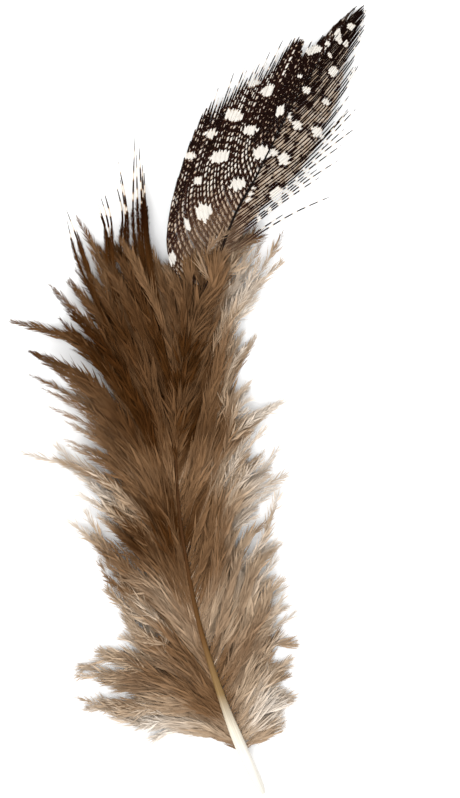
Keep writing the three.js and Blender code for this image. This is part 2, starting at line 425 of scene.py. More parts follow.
downTone = {
    "ground": 0.3,
    "barb": 0.05,
    "bare": 0.3,
    "plumeSpread": 0.05,
    "plumeLimit": 1.5,
    "streak": 4,  # how many neighbouring barbs share their lightness
    "outerLight": 0.05,
    "depthLight": 0.18,
    "patches": [  # x, y, reach and how much lighter or darker
        (-11.5, 8.0, 5.5, -0.2), (-10.0, -7.0, 5.0, -0.15), (4.6, -6.0, 2.6, -0.1),
        (-9.5, -23.5, 4.5, -0.25), (-4.5, -13.0, 3.0, 0.15), (2.0, -13.0, 3.0, 0.1),
        (-3.0, -33.0, 5.0, 0.11), (4.5, -37.0, 4.0, 0.23), (9.5, -30.0, 5.0, 0.15),
        (8.5, -15.5, 3.5, 0.24), (8.5, 14.0, 3.2, 0.16), (8.5, -1.0, 3.0, 0.14),
        (-9.0, -36.5, 3.2, 0.13), (-15.5, -19.0, 4.0, 0.12), (9.5, -46.0, 3.5, 0.16),
        (-13.5, -46.5, 4.0, 0.06), (-4.0, -52.0, 3.4, 0.33), (10.0, -51.0, 3.0, 0.48),
        (2.0, -54.0, 2.4, 0.3), (4.6, -50.0, 1.8, -0.2), (11.0, -42.0, 2.5, -0.04),
        (10.5, -19.5, 1.8, -0.2), (5.0, 22.0, 3.0, -0.02), (6.5, -24.0, 3.0, 0.1),
        (-2.7, 11.2, 4.0, 0.05), (1.7, 3.8, 2.2, -0.06),
    ],
    "tipPatches": [  # the same, but growing from nothing at the shaft to all of it at the tips
        (-27.0, 9.0, 6.0, -0.2), (-20.0, 25.0, 8.0, -0.22), (-28.5, 3.0, 3.0, -0.15),
        (-19.0, -14.0, 8.0, 0.3), (-16.0, -46.0, 6.0, 0.14), (13.0, -5.0, 14.0, 0.3),
        (13.0, 14.0, 8.0, 0.3), (12.5, 27.5, 3.0, -0.5), (15.0, -36.0, 10.0, 0.25),
    ],
}


def downHeight(vane, level, u, rng):
    # Each barb leaves the shaft's side, eases to its own layer and comes down towards the table with the
    # square of the way out. The layers are lower near both ends of the vane. Further up than the bare stem
    # they rise over the shaft as a bell curve, and the last ones lie over the root of the web.
    count = len(level)
    layer = (rng.permutation(count) + 0.5) / count
    rootY = level[:, 0, 1]
    swell = tableAt(rootY, vane["swell"])
    lowTop, lowMiddle, lowTip = vane["lowLayer"]
    top = lowTop + (vane["crown"] - lowTop) * swell
    middle = lowMiddle + (top - lowMiddle) * layer
    lastOnes = easeIn(rootY / vane["overWebEase"])
    end = lowTip + vane["tipHeight"] * layer * swell + vane["overWeb"] * layer * lastOnes
    root = shaftAt(rootY)[:, 2] - vane["rootDrop"]
    leave = easeIn(u / vane["leaveShare"])
    over = middle[:, None] * (1 - u**2) + end[:, None] * u**2
    covered = easeIn((rootY - vane["coveredFrom"]) / vane["liftEase"])
    hump = vane["lift"] * covered * (vane["leastLift"] + (1 - vane["leastLift"]) * layer)
    ripple = vane["ripple"] * np.sin(2 * np.pi * (u + rng.random((count, 1)))) * u
    rise = hump[:, None] * np.exp(-(((u - vane["liftPlace"]) / vane["liftWidth"]) ** 2))
    return np.maximum(root[:, None] * (1 - leave) + over * leave + rise + ripple, vane["lowest"])


def downToneAt(x, y, u):
    # The ground and its patches, plus the tip patches times the cube of the way out.
    inner = patchSum(downTone["patches"], x, y, downTone["ground"])
    return inner + u**3 * patchSum(downTone["tipPatches"], x, y, 0) + downTone["outerLight"] * u


def downBarbTone(vane, barbs):
    # A barb is a little lighter than its barbules, and a bare one much lighter.
    x, y = levelPlace(barbs["points"])
    lighter = downTone["barb"] + downTone["bare"] * barbs["bare"][:, None]
    return downToneAt(x, y, barbs["u"][None]) + lighter + vane["pallor"]


def downBarbuleTone(vane, barbules, rng):
    # The patches give the tone and each plume is a little lighter or darker, much like its neighbours.
    # Barbules near the table are painted lighter: painted light standing in for the light that soaks into
    # real down, so that no gap looks black.
    x, y, z = barbules["base"].T
    window = np.full(downTone["streak"], downTone["streak"] ** -0.5)
    streaks = np.convolve(rng.normal(size=barbules["barb"].max() + 1), window, "same")
    streaks = np.clip(streaks, -downTone["plumeLimit"], downTone["plumeLimit"])
    plume = downTone["plumeSpread"] * streaks[barbules["barb"]]
    deep = downTone["depthLight"] * (1 - z / vane["crown"])
    tone = downToneAt(x, y, barbules["u"]) + plume + deep + vane["pallor"]
    return np.stack([tone, tone], axis=1)


def downReach(vane, barbs, barbules):
    # Short where the stem shows between the vanes, long over the covered part, and short at every tip.
    u = barbules["u"]
    rootY = barbs["points"][barbules["barb"], 0, 1]
    covered = easeIn((rootY - vane["coveredFrom"]) / vane["coverEase"])
    cover = covered * np.exp(-((u / vane["coverReach"]) ** 2))
    return vane["barbuleLength"] * np.maximum(tableAt(u, vane["barbuleShape"]), cover)


downShared = vaneShared | {
    "steps": 24,
    "unevenness": 0.9,
    "bareShare": 0.1,
    "bareRadius": 1.2,
    "pallor": 0.0,
    "normalSpread": 0.04,
    "tuftPull": 0.8,
    "shortest": 0.62,
    "reachBias": 0.8,
    "scatter": 0.5,
    "sway": 0.35,
    "ripple": 0.3,
    "height": downHeight,
    "lowest": 0.2,
    "rootDrop": 0.12,
    "leaveShare": 0.45,
    "lowLayer": (0.9, 0.7, 0.35),  # heights at the vane's thin ends: top, middle and tip
    "crown": 6.9,
    "tipHeight": 2.2,
    "overWeb": 3.8,
    "overWebEase": 6,
    "coveredFrom": -13,  # the y at which the stem goes under the down
    "coverEase": 6,
    "coverReach": 0.2,
    "lift": 1.3,
    "leastLift": 0.4,
    "liftEase": 8,
    "liftPlace": 0.12,
    "liftWidth": 0.16,
    "swell": [(-56, 0.22), (-50, 0.45), (-40, 0.85), (-25, 1.0), (0, 1.0), (10, 0.85), (18, 0.7)],
    "barbRadius": [(0, 0.08), (0.3, 0.05), (0.8, 0.03), (1, 0.015)],
    "barbTone": downBarbTone,
    "barbuleTone": downBarbuleTone,
    "barbuleReach": downReach,
    "crowding": [(0, 0.9), (0.2, 0.9), (0.5, 1.0), (0.85, 1.1), (1, 0.9)],
    "barbuleJitter": 1.0,
    "barbuleLength": 4.3,
    "barbuleSpread": 0.5,
    "barbuleShape": [(0, 0.14), (0.08, 0.45), (0.25, 0.95), (0.5, 1.0), (0.75, 0.8), (0.9, 0.45), (1, 0.15)],
    "barbuleSlimming": [(0, 1.0), (0.5, 1.0), (1, 0.4)],
    "barbuleWidth": 0.02,
    "barbuleBow": 0.08,
    "barbuleTurn": 50,
    "lean": [(0, 16), (0.15, 7), (0.5, 5), (1, 17)],
    "leanSpread": 6,
    "tiltMean": -2,
    "tiltSpread": 65,
    "sag": 0.03,
}

leftDown = downShared | {
    "seed": 11,
    "pieces": 3,
    "guides": [  # y at the shaft, then the x and y of four points on the way out
        (-56.4, (5.2, -54.6), (2.2, -53.4), (-1.6, -52.8), (-5.6, -52.6)),
        (-55.8, (3.8, -52.8), (-1.2, -51.8), (-6.6, -51.2), (-12.3, -50.6)),
        (-55.0, (2.8, -51.0), (-2.8, -49.4), (-8.8, -48.8), (-15.5, -48.8)),
        (-54.0, (1.8, -49.6), (-3.8, -47.6), (-10.0, -46.6), (-17.0, -46.2)),
        (-53.0, (1.0, -48.0), (-4.4, -45.4), (-10.2, -43.8), (-16.2, -42.4)),
        (-52.0, (0.4, -47.0), (-4.4, -44.2), (-9.2, -42.0), (-13.8, -40.0)),
        (-51.0, (1.4, -45.6), (-3.0, -42.2), (-7.6, -39.0), (-11.5, -34.4)),
        (-49.8, (1.2, -44.0), (-3.2, -39.8), (-8.2, -35.8), (-13.0, -30.6)),
        (-48.4, (0.7, -41.8), (-3.4, -36.0), (-8.8, -30.8), (-15.4, -24.8)),
        (-46.8, (0.2, -39.4), (-3.8, -32.8), (-9.4, -27.2), (-16.6, -21.6)),
        (-45.0, (-0.5, -36.8), (-4.2, -29.4), (-10.0, -23.2), (-18.0, -17.2)),
        (-43.2, (-1.1, -34.4), (-4.6, -26.4), (-10.6, -20.0), (-19.0, -13.8)),
        (-41.4, (-1.7, -32.0), (-5.0, -23.6), (-11.2, -16.6), (-20.6, -10.8)),
        (-39.4, (-2.2, -29.4), (-5.2, -20.8), (-11.6, -13.2), (-22.6, -7.4)),
        (-37.4, (-2.7, -27.0), (-5.6, -18.0), (-12.6, -9.8), (-24.2, -3.8)),
        (-35.4, (-3.0, -24.8), (-6.2, -15.4), (-14.0, -6.4), (-26.8, 0.6)),
        (-33.4, (-3.4, -22.6), (-6.8, -13.2), (-15.0, -3.4), (-29.0, 3.5)),
        (-31.4, (-3.7, -20.6), (-7.2, -10.8), (-14.6, -1.8), (-25.0, 5.6)),
        (-29.6, (-3.9, -18.6), (-7.8, -8.0), (-16.6, 3.2), (-27.2, 8.6)),
        (-27.8, (-4.1, -16.6), (-8.6, -3.8), (-17.6, 9.4), (-28.6, 12.4)),
        (-25.8, (-4.3, -14.8), (-7.8, -3.8), (-14.8, 6.3), (-23.0, 14.6)),
        (-24.0, (-4.3, -12.8), (-7.8, -1.4), (-14.2, 9.1), (-24.0, 19.6)),
        (-22.0, (-4.3, -10.8), (-7.4, 0.4), (-13.0, 10.1), (-20.8, 19.2)),
        (-20.0, (-4.2, -8.6), (-7.4, 3.0), (-12.8, 12.9), (-18.4, 21.4)),
        (-18.0, (-4.2, -6.4), (-7.8, 5.4), (-13.6, 15.5), (-19.6, 26.0)),
        (-15.6, (-4.1, -3.8), (-8.2, 8.2), (-14.0, 19.1), (-20.8, 31.6)),
        (-13.0, (-3.8, -1.6), (-7.6, 10.0), (-12.6, 19.2), (-17.2, 27.4)),
        (-10.4, (-3.2, 1.2), (-6.4, 11.4), (-10.8, 19.6), (-14.6, 27.2)),
        (-7.6, (-2.8, 3.6), (-5.2, 12.6), (-8.8, 19.8), (-12.2, 26.8)),
        (-4.6, (-2.4, 5.8), (-4.0, 13.4), (-7.0, 20.0), (-10.0, 26.6)),
        (-1.4, (-2.0, 7.8), (-3.2, 14.2), (-5.4, 20.0), (-8.0, 27.0)),
        (2.0, (-1.4, 9.6), (-2.2, 14.6), (-3.8, 18.8), (-6.2, 24.8)),
        (5.0, (-0.8, 11.2), (-1.4, 14.8), (-2.4, 18.4), (-4.4, 23.0)),
        (8.2, (0.2, 13.6), (-0.2, 16.6), (-1.0, 19.6), (-2.6, 23.6)),
        (11.2, (1.2, 15.8), (1.0, 18.6), (0.6, 21.4), (0.0, 24.8)),
        (14.0, (1.8, 17.6), (1.8, 20.0), (1.8, 22.2), (2.2, 25.0)),
    ],
    "barbs": 180,
    "tufts": [  # their middles, counted in guides
        0.5, 2.0, 3.4, 5.0, 6.3, 7.4, 8.6, 10.0, 11.2, 12.5, 13.7, 14.9, 16.0, 17.6, 19.0,
        20.0, 21.0, 22.1, 23.4, 24.3, 25.0, 26.2, 27.3, 28.4, 29.6, 30.5, 31.7, 33.0, 34.0, 35.0,
    ],
    "barbules": 90000,
}

rightDown = downShared | {
    "seed": 23,
    "pieces": 2,
    "guides": [
        (-56.2, (9.5, -55.2), (10.3, -54.6), (10.8, -53.8), (11.3, -52.6)),
        (-55.2, (9.5, -53.6), (10.6, -52.2), (11.6, -51.0), (12.6, -49.8)),
        (-54.0, (9.3, -51.6), (10.7, -49.6), (12.3, -48.0), (14.0, -47.0)),
        (-52.5, (8.9, -49.4), (10.5, -46.6), (12.7, -44.4), (15.4, -42.6)),
        (-51.0, (8.5, -47.4), (10.0, -43.6), (12.2, -40.8), (16.2, -38.8)),
        (-49.4, (8.0, -45.4), (9.6, -40.8), (11.6, -37.0), (16.0, -33.8)),
        (-47.6, (7.4, -43.4), (9.2, -38.2), (11.4, -33.6), (16.0, -29.2)),
        (-45.6, (6.8, -41.0), (8.6, -35.4), (10.8, -30.2), (15.6, -25.2)),
        (-43.6, (6.0, -38.4), (7.8, -32.0), (9.8, -26.4), (14.6, -21.2)),
        (-41.4, (5.0, -35.6), (6.2, -28.6), (8.0, -22.6), (13.2, -17.2)),
        (-39.0, (4.2, -32.8), (5.0, -25.6), (7.2, -19.4), (14.2, -14.2)),
        (-36.6, (3.6, -30.0), (4.6, -23.0), (7.2, -17.0), (15.0, -11.6)),
        (-34.2, (3.2, -27.2), (4.4, -20.2), (7.4, -14.2), (13.4, -8.4)),
        (-31.8, (2.8, -24.6), (4.0, -17.4), (6.4, -10.8), (12.0, -5.4)),
        (-29.4, (2.6, -22.0), (3.8, -14.6), (6.4, -7.4), (14.4, -0.6)),
        (-27.0, (1.8, -19.4), (4.0, -11.0), (6.4, -3.0), (12.6, 2.8)),
        (-24.4, (1.6, -16.8), (4.0, -7.4), (6.4, 1.0), (10.8, 7.0)),
        (-21.8, (1.4, -14.2), (3.8, -4.0), (6.2, 4.8), (10.0, 11.0)),
        (-19.2, (1.2, -11.4), (3.8, -0.6), (6.2, 8.4), (11.0, 15.0)),
        (-16.6, (1.0, -8.6), (3.6, 2.8), (6.2, 11.8), (11.6, 18.6)),
        (-14.0, (0.8, -5.6), (3.4, 5.8), (6.4, 15.0), (13.2, 22.4)),
        (-11.4, (0.6, -2.4), (3.0, 8.6), (6.2, 17.4), (12.8, 26.0)),
        (-8.8, (0.4, 0.4), (2.6, 10.6), (5.6, 18.4), (10.8, 26.2)),
        (-6.0, (0.4, 3.4), (2.4, 12.2), (4.8, 19.0), (9.0, 25.8)),
        (-3.0, (0.6, 6.2), (2.4, 13.8), (4.4, 20.0), (8.2, 26.4)),
        (0.2, (1.2, 9.0), (2.6, 15.0), (4.2, 20.4), (7.4, 26.6)),
        (3.6, (1.8, 11.6), (3.0, 16.4), (4.2, 20.8), (6.8, 26.4)),
        (7.2, (2.4, 13.8), (3.4, 17.4), (4.4, 21.0), (6.2, 25.8)),
        (10.8, (3.2, 16.0), (3.8, 18.8), (4.4, 21.6), (5.6, 25.2)),
        (14.2, (4.0, 18.2), (4.2, 20.2), (4.4, 22.2), (4.8, 24.6)),
    ],
    "barbs": 130,
    "shortest": 0.55,
    "reachBias": 1.0,
    "tufts": [
        0.6, 1.8, 3.0, 4.0, 5.2, 6.4, 7.6, 8.8, 10.0, 11.4, 12.6, 14.2, 15.4, 16.8, 18.2,
        19.4, 20.6, 21.4, 22.6, 23.8, 25.0, 26.2, 27.4, 28.6,
    ],
    "barbules": 56000,
}

wisps = {  # loose and pale, and they stand out past the edges of the down
    "pieces": 1,
    "barbs": 44,
    "stretch": 0.5,
    "shortest": 0.8,
    "reachBias": 1.0,
    "tuftPull": 0.3,
    "scatter": 1.1,
    "sway": 0.9,
    "bareShare": 0.0,
    "pallor": 0.14,
    "barbRadius": [(0, 0.03), (0.5, 0.025), (1, 0.012)],
    "barbules": 5600,
    "crowding": [(0, 0), (0.6, 0), (0.75, 1), (1, 1)],
    "barbuleShape": [(0, 0.5), (0.8, 0.65), (0.95, 0.5), (1.0, 0.3)],
    "barbuleWidth": 0.011,
    "lean": [(0, 16), (1, 16)],
    "leanSpread": 9,
}

# On the left, wisps grow only from the lower guides.
leftWisps = leftDown | wisps | {"seed": 67, "guides": leftDown["guides"][:14]}
rightWisps = rightDown | wisps | {"seed": 71}


def makeDown(material):
    for name, node, vane in (
        ("leftDown", "left_down", leftDown),
        ("rightDown", "right_down", rightDown),
        ("leftWisps", "left_down", leftWisps),
        ("rightWisps", "right_down", rightWisps),
    ):
        makeVane(name, node, material, vane)


# Web: stiff dark barbs side by side. Rows of cream flecks cross them, and white spots lie over both sides.

webMarks = {
    "spots": [  # x and y of its middle, half its width and height, and degrees it is turned
        (12.2, 49.4, 1.3, 0.8, 20), (6.6, 45.4, 1.6, 1.0, -8), (9.3, 43.0, 1.0, 0.7, 15),
        (2.9, 42.4, 1.2, 0.8, 25), (4.3, 38.7, 1.7, 1.0, 15), (-0.3, 38.9, 0.9, 0.6, 0),
        (0.8, 34.9, 0.9, 0.7, 20), (7.2, 34.2, 1.3, 1.0, 10), (11.4, 39.4, 1.2, 1.1, 45),
        (13.0, 39.5, 0.6, 0.8, 60), (14.6, 38.4, 0.9, 1.1, -40), (13.4, 33.0, 1.1, 1.1, -30),
        (16.8, 43.8, 0.8, 0.8, -40), (20.0, 42.7, 1.1, 1.0, -30), (21.3, 47.7, 0.6, 0.6, 0),
        (22.6, 52.5, 0.7, 0.8, -20), (14.1, 46.1, 1.0, 0.7, 40), (15.4, 45.4, 0.3, 1.0, 20),
        (18.2, 49.6, 0.6, 0.7, 60), (17.3, 51.7, 0.4, 0.3, 0), (19.2, 56.0, 1.4, 0.8, 20),
        (23.4, 58.2, 0.6, 1.2, 10), (18.2, 57.4, 0.5, 0.8, 10), (1.9, 29.8, 1.4, 1.5, 0),
        (-0.6, 27.7, 0.4, 1.2, -5), (9.8, 50.7, 1.0, 0.6, 15), (25.4, 59.8, 0.7, 0.6, 30),
        (26.7, 56.0, 0.8, 0.7, 30), (25.9, 51.5, 1.0, 0.7, 20), (-3.2, 22.4, 0.7, 1.1, -20),
        (9.2, 32.6, 0.25, 1.9, -25), (3.6, 24.6, 0.3, 1.8, -28),
        (21.6, 57.0, 0.4, 0.5, 30), (24.6, 57.0, 0.4, 0.6, -20), (22.0, 55.2, 0.3, 0.5, 30),
    ],
    "halo": 0.9,  # how far past a spot's edge the flecks are thinned, in spots
    "raggedness": 0.2,
    "blackPatches": [  # x, y, reach and how black
        (11.2, 41.6, 1.5, 0.8), (12.8, 44.8, 1.8, 1.0), (15.2, 48.4, 2.1, 1.1), (17.6, 51.8, 2.0, 1.0),
        (20.6, 55.6, 1.6, 0.8), (23.6, 59.6, 1.2, 0.7), (-1.0, 37.0, 1.1, 1.0), (-2.2, 33.6, 1.1, 1.1),
        (-3.0, 29.4, 1.0, 1.1), (-3.5, 25.6, 0.9, 1.1), (4.2, 43.8, 1.3, 0.9), (2.9, 40.6, 1.0, 0.9),
        (0.2, 41.2, 0.9, 0.8), (1.2, 44.6, 0.8, 0.8),
        (7.4, 43.4, 1.2, 0.5), (16.2, 56.0, 1.2, 0.8), (6.4, 39.6, 1.0, 0.3), (9.8, 47.0, 1.4, 0.4),
    ],
    "blotch": 0.4,
    "greyPatches": [  # x, y, reach and how grey and ragged
        (2.0, 24.0, 4.2, 1.1), (4.6, 28.5, 2.4, 0.6), (7.0, 31.5, 1.4, 0.3), (9.0, 24.0, 2.4, 0.6),
    ],
    # what full black takes away, as shares
    "blackGround": 0.85,
    "blackFlecks": 0.9,
    "blackFleckTone": 0.35,
    # what full grey adds or, of the flecks' tone, takes away
    "greyGround": 0.24,
    "greyRag": 0.5,
    "greyFlecks": 0.12,
    "greyFleckTone": 0.3,
    "greyBarb": 0.32,
    "greyestDash": 0.3,  # the most grey at which a barb is still broken by gaps
    "toneSpread": 0.04,
}


def spotDistance(x, y):
    # The least distance to any spot's middle, as a share of the way out to that spot's edge.
    least = np.full(np.shape(x), 9.0)
    for spotX, spotY, halfWidth, halfHeight, degrees in webMarks["spots"]:
        turn = np.radians(degrees)
        right = (x - spotX) * np.cos(turn) + (y - spotY) * np.sin(turn)
        up = (y - spotY) * np.cos(turn) - (x - spotX) * np.sin(turn)
        least = np.minimum(least, np.hypot(right / halfWidth, up / halfHeight))
    return least


def fleckWave(x, y, rowDegrees, period):
    # Counts rows of flecks: the distance square to the rows, in periods. Its fraction places a row.
    turn = np.radians(rowDegrees)
    return (y * np.cos(turn) - x * np.sin(turn)) / period


def blackness(x, y):
    # The black patches, made uneven by three crossed waves whose numbers are given.
    waves = np.sin(1.9 * x + 0.7 * y + 1) * np.sin(0.8 * x - 2.1 * y + 2) + np.sin(3.7 * x - 1.3 * y)
    return np.clip(patchSum(webMarks["blackPatches"], x, y, 0) + webMarks["blotch"] * waves, 0, 1)


def greyness(x, y):
    # The grey patches, from none at 0 to full at 1.
    return np.clip(patchSum(webMarks["greyPatches"], x, y, 0), 0, 1)


def webHeight(vane, level, u, rng):
    # The shaft's height, drooping with the square of the way out, with a faint ripple from barb to barb.
    # The lowest barbs start deeper, so that the down covers their roots.
    rootY = level[:, 0, 1]
    root = shaftAt(rootY)[:, 2] - vane["rootDrop"]
    sunk = vane["sink"] * easeIn((vane["sinkBelow"] - rootY) / vane["sinkEase"])[:, None] * (1 - u) ** 2
    ripple = vane["ripple"] * rng.normal(size=(len(level), 1)) * u
    return np.maximum(root[:, None] - sunk - vane["droop"] * u**2 + ripple, vane["lowest"])


def barbRag(barb):
    # A number from -1 to 1 that looks random but always comes out the same for the same barb: twice the
    # fraction of a large multiple of a sine, less one.
    return 2 * np.mod(np.sin(barb * 12.9898) * 43758.5453, 1) - 1


def webTone(vane, x, y, barb, side):
    # Black, brown or grey ground by its patches. A fleck shows where its row's fraction is under the
    # share of flecks, which drops to little in black patches and to nothing round a spot. Flecks lie on
    # one side of a barb or on both, as the vane says. Spots win.
    rag = barbRag(barb)
    distance = spotDistance(x, y) + webMarks["raggedness"] * rag
    black, grey = blackness(x, y), greyness(x, y)
    ground = vane["groundTone"] * (1 - webMarks["blackGround"] * black) + webMarks["greyGround"] * grey
    wave = fleckWave(x, y, vane["rowDegrees"], vane["rowPeriod"]) + vane["rowStagger"] * (barb % 2)
    wave = wave + (vane["rowRag"] + webMarks["greyRag"] * grey) * rag
    clear = easeIn((distance - 1) / webMarks["halo"])
    share = vane["fleckShare"] * (1 - webMarks["blackFlecks"] * black) * clear + webMarks["greyFlecks"] * grey
    fleck = (np.mod(wave, 1) < share) & (vane["fleckSides"] * side >= 0)
    fleckTone = vane["fleckTone"] * (1 - webMarks["blackFleckTone"] * black)
    fleckTone = fleckTone * (1 - webMarks["greyFleckTone"] * grey)
    return np.where(distance < 1, 1.0, np.where(fleck, fleckTone, ground)), distance < 1


def webBarbuleTone(vane, barbules, rng):
    # A barbule is dark where it leaves its barb, except in the spots.
    x, y = levelPlace(barbules["base"])
    outer, inSpot = webTone(vane, x, y, barbules["barb"], barbules["side"])
    outer = outer + webMarks["toneSpread"] * rng.normal(size=len(x))
    return np.stack([np.where(inSpot, outer, vane["rootShade"] * outer), outer], axis=1)


def webBarbTone(vane, barbs):
    # The barb itself is black but for the spots, and out in the fringe it is broken by white gaps.
    x, y = levelPlace(barbs["points"])
    barb = np.arange(len(x))[:, None]
    wave = fleckWave(x, y, vane["rowDegrees"], vane["dashPeriod"]) + vane["dashRag"] * barbRag(barb)
    outside = barbs["u"][None] > fringeStart(vane, barbs)[:, None] + vane["dashDelay"]
    grey = greyness(x, y)
    gap = outside & (np.mod(wave, 1) < vane["dashGap"]) & (grey < webMarks["greyestDash"])
    inSpot = spotDistance(x, y) + webMarks["raggedness"] * barbRag(barb) < 1
    return np.where(inSpot | gap, 1.0, vane["barbGround"] + webMarks["greyBarb"] * grey)


def fringeStart(vane, barbs):
    # How far out each barb turns from closed web into loose fringe, read from the vane's table by guide.
    # The table is for a barb of full length, so the answer is further out on one that was cut short.
    return tableAt(barbs["row"], vane["fringe"]) / barbs["cut"]


def webReach(vane, barbs, barbules):
    # Long enough to close a share of the gap to the next barb on its own side, but never very long, and
    # a mere stub out in the fringe.
    plus, minus = sideGaps(barbs["points"])
    barb, low = barbules["barb"], barbules["low"]
    gap = np.where(barbules["side"] > 0, plus[barb, low], minus[barb, low])
    share = np.where(barbules["side"] > 0, *vane["closing"])
    closing = np.minimum(share * gap / np.sin(barbules["lean"]), vane["barbuleLongest"])
    ease = vane["fringeEase"]
    outside = easeIn((barbules["u"] - fringeStart(vane, barbs)[barb] + ease / 2) / ease)
    return closing * (1 - outside) + vane["stub"] * outside


webShared = vaneShared | {
    "steps": 100,
    "unevenness": 0.35,
    "normalSpread": 0.15,
    "stub": 0.05,
    "tuftPull": 0.04,
    "scatter": 0.05,
    "sway": 0.05,
    "height": webHeight,
    "lowest": 0.3,
    "rootDrop": 0.05,
    "droop": 1.2,
    "sink": 1.8,
    "sinkBelow": 25,
    "sinkEase": 7,
    "ripple": 0.08,
    "barbTone": webBarbTone,
    "barbuleTone": webBarbuleTone,
    "barbuleReach": webReach,
    "barbGround": 0.02,
    "rootShade": 0.35,
    "closing": (0.75, 0.5),
    "barbuleLongest": 0.8,
    "fringeEase": 0.08,
    "rowRag": 0.3,
    "crowding": [(0, 1), (0.7, 1), (0.9, 0.5), (1, 0.4)],
    "barbuleJitter": 0.3,
    "barbuleSpread": 0.12,
    "barbuleTurn": 12,
    "barbuleWidth": 0.045,
    "barbuleSlimming": [(0, 1.0), (0.8, 1.0), (1, 0.6)],
    "barbuleBow": 0.05,
    "lean": [(0, 42), (1, 42)],
    "leanSpread": 3,
    "tiltMean": -6,
    "tiltSpread": 7,
}

leftWeb = webShared | {
    "seed": 31,
    "guides": [
        (15.4, (-1.4, 18.6), (-3.3, 21.4), (-4.1, 24.8), (-4.0, 29.0)),
        (18.1, (-1.9, 21.4), (-3.8, 24.8), (-3.2, 31.2), (-1.3, 38.4)),
        (20.2, (-0.6, 24.0), (-2.1, 29.6), (-0.8, 36.8), (2.2, 46.8)),
        (22.9, (1.0, 26.9), (0.0, 32.0), (1.4, 39.2), (4.9, 51.0)),
        (25.1, (2.4, 29.6), (1.9, 35.2), (3.5, 41.6), (7.6, 53.4)),
        (27.8, (4.0, 32.3), (4.0, 37.6), (5.8, 44.5), (10.3, 55.4)),
        (30.7, (5.6, 35.2), (6.1, 40.0), (7.8, 46.4), (12.6, 57.0)),
        (33.3, (7.4, 37.6), (8.0, 42.2), (9.9, 48.3), (14.6, 58.4)),
        (35.8, (9.3, 40.0), (10.2, 44.8), (12.0, 50.2), (16.0, 59.0)),
        (38.9, (11.4, 42.9), (12.3, 47.0), (14.1, 51.5), (17.3, 58.4)),
        (42.4, (13.4, 45.9), (14.6, 49.6), (16.2, 53.4), (18.2, 57.9)),
        (45.9, (15.7, 49.1), (16.8, 52.2), (18.4, 55.4), (20.2, 58.6)),
        (49.6, (18.1, 52.5), (19.2, 55.0), (20.6, 57.3), (22.1, 59.5)),
        (53.1, (20.5, 55.5), (21.6, 57.6), (22.7, 59.4), (23.8, 61.0)),
        (56.8, (22.9, 58.6), (23.8, 60.0), (24.8, 61.4), (25.6, 62.6)),
        (60.2, (25.0, 61.3), (25.4, 62.1), (26.1, 62.9), (26.6, 63.4)),
    ],
    "barbs": 51,
    "roomShare": 0.42,
    "tufts": [0.0, 2.0, 4.0, 6.0, 8.0, 10.0, 12.0, 14.0],
    "barbules": 28000,
    "crowding": [(0, 1), (0.9, 1.1), (1, 1)],
    "closing": (0.85, 0.6),
    "shortReach": 0.5,
    "barbuleSlimming": [(0, 1), (0.6, 1.05), (0.85, 1.7), (1, 1.7)],
    "barbRadius": [(0, 0.12), (0.5, 0.115), (0.75, 0.11), (0.95, 0.12), (1, 0.06)],
    "reachBias": 0.8,
    "groundTone": 0.17,
    "fleckTone": 0.97,
    "fleckShare": 0.62,
    "fleckSides": 1,  # flecks on one side of each barb
    "rowDegrees": 20,
    "rowPeriod": 0.9,
    "rowStagger": 0.5,
    "fringe": [  # guide, and how far out along it the fringe starts
        (0, 0.99), (2, 0.96), (3, 0.88), (4, 0.87), (5, 0.87), (6, 0.84), (7, 0.82), (8, 0.84), (8.7, 0.94),
        (9.8, 0.97), (10.4, 0.78), (11.4, 0.8), (12.4, 0.92), (15, 0.95),
    ],
    "dashPeriod": 2.2,
    "dashGap": 0.5,
    "dashRag": 0.5,
    "dashDelay": 0.02,
}

rightWeb = webShared | {
    "seed": 43,
    "guides": [
        (22.4, (7.4, 24.0), (11.6, 26.8), (16.2, 29.4), (21.5, 31.6)),
        (24.6, (8.6, 27.0), (13.6, 30.9), (18.8, 34.7), (25.2, 38.6)),
        (26.6, (9.8, 29.8), (15.2, 33.9), (20.8, 38.4), (27.8, 43.0)),
        (29.1, (11.4, 32.7), (16.6, 36.9), (21.8, 41.9), (26.2, 46.6)),
        (33.0, (13.3, 36.5), (18.1, 40.3), (22.6, 45.1), (25.9, 49.3)),
        (36.2, (14.9, 39.7), (19.4, 43.8), (23.4, 48.3), (26.6, 53.1)),
        (39.7, (16.2, 42.9), (20.2, 46.9), (24.0, 51.5), (27.2, 56.0)),
        (43.2, (17.8, 46.4), (21.4, 50.4), (24.6, 54.7), (27.7, 58.9)),
        (46.9, (19.2, 49.9), (22.4, 53.4), (25.1, 57.1), (27.8, 60.8)),
        (50.4, (20.8, 53.1), (23.4, 56.0), (25.6, 58.7), (28.0, 61.8)),
        (53.9, (22.4, 56.2), (24.5, 58.4), (26.2, 60.5), (28.0, 62.4)),
        (57.3, (24.0, 58.9), (25.4, 60.5), (26.7, 61.9), (27.8, 63.0)),
        (60.5, (25.4, 61.4), (26.2, 62.2), (27.0, 62.9), (27.7, 63.5)),
    ],
    "barbs": 43,
    "tufts": [1.0, 3.0, 5.0, 7.0, 9.0, 11.0],
    "barbules": 21000,
    "barbRadius": [(0, 0.14), (0.5, 0.15), (0.8, 0.14), (0.95, 0.11), (1, 0.05)],
    "reachBias": 0.45,
    "groundTone": 0.13,
    "fleckTone": 0.81,
    "fleckShare": 0.93,
    "fleckSides": 0,  # flecks on both sides
    "rowDegrees": -46,
    "rowPeriod": 2.9,
    "rowStagger": 0.0,
    "fringe": [(0, 0.18), (1.6, 0.22), (2.6, 0.56), (3.5, 0.64), (5, 0.73), (7, 0.77), (11, 0.8)],
    "dashPeriod": 2.1,
    "dashGap": 0.42,
    "dashRag": 0.3,
    "dashDelay": 0.12,
}


